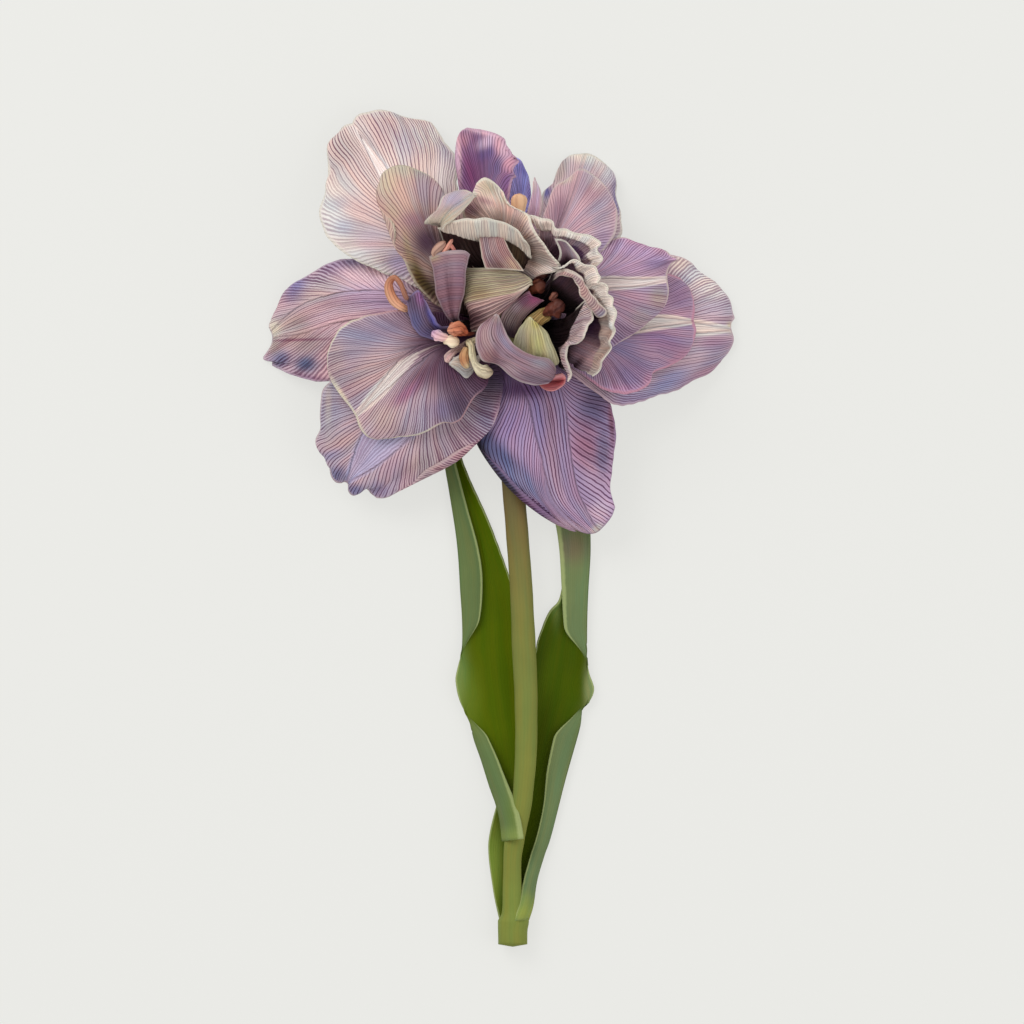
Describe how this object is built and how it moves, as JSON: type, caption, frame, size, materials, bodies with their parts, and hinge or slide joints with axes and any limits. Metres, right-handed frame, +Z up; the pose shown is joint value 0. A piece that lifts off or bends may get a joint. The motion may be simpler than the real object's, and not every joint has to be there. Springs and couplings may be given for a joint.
{
  "type": "double tulip flower",
  "caption": "Cut double tulip lying on its back, its open head of veined petals facing up, with a ruffled centre, a straight stem and folded strap leaves",
  "frame": {"origin": "middle of the footprint, on the surface that the flower lies on", "axes": "+X to the flower's right, +Y along the stem towards the top of the head, +Z up, the way the open flower faces"},
  "size_m": [0.1272, 0.2266, 0.0514],
  "materials": {
    "leaf_green": "smooth waxy green leaf, paler underneath",
    "stem_green": "smooth waxy yellow-green stem",
    "mauve": "soft matt mauve petal with dark veins",
    "pale_mauve": "soft matt pale mauve and cream petal with dark veins",
    "violet": "soft matt violet petal with dark veins",
    "cream": "soft matt cream petal with mauve veins",
    "blue": "soft matt blue-violet petal",
    "pink": "soft matt pink petal",
    "yellow_green": "matt yellow-green tissue",
    "orange": "matt orange anther",
    "brown": "matt brown anther"
  },
  "bodies": {
    "root": {"left_petal": "mauve", "lower_left_outer_petal": "mauve", "lower_petal": "violet", "right_outer_petal": "pale_mauve", "upper_right_outer_petal": "pale_mauve", "upper_left_petal": "pale_mauve", "lower_left_petal": "pale_mauve", "right_middle_petal": "mauve", "right_inner_petal": "mauve", "upper_right_inner_petal": "mauve", "top_petal": "violet", "top_blue_petal": "blue", "top_pink_petal": "pink", "upper_left_inner_petal": "pale_mauve", "upper_left_curled_petal": "cream", "left_inner_petal": "mauve", "centre_petal": "cream", "centre_curled_petal": "pale_mauve", "arch_petal": "cream", "upper_middle_inner_petal": "pale_mauve", "upper_right_ruffled_petal": "cream", "upper_right_folded_petal": "pale_mauve", "right_ruffled_petal": "cream", "right_middle_ruffled_petal": "pale_mauve", "right_inner_ruffled_petal": "cream", "pink_tongue": "pink", "upper_green_petal": "yellow_green", "lower_green_petal": "yellow_green", "lower_curled_petal": "pale_mauve", "small_blue_petal": "blue", "small_grey_petal": "pale_mauve", "small_pink_petal": "pink", "small_red_petal": "pink", "stem": "stem_green", "lower_leaf": "leaf_green", "upper_leaf": "leaf_green", "pistil": "yellow_green", "left_looped_stamen": "orange", "left_ruffled_stamen": "orange", "lower_curled_stamen": "orange", "top_stamen": "orange", "upper_left_stamen": "orange", "upper_middle_stamen": "orange", "centre_stamen": "brown", "right_stamen": "brown"}
  },
  "joints": []
}
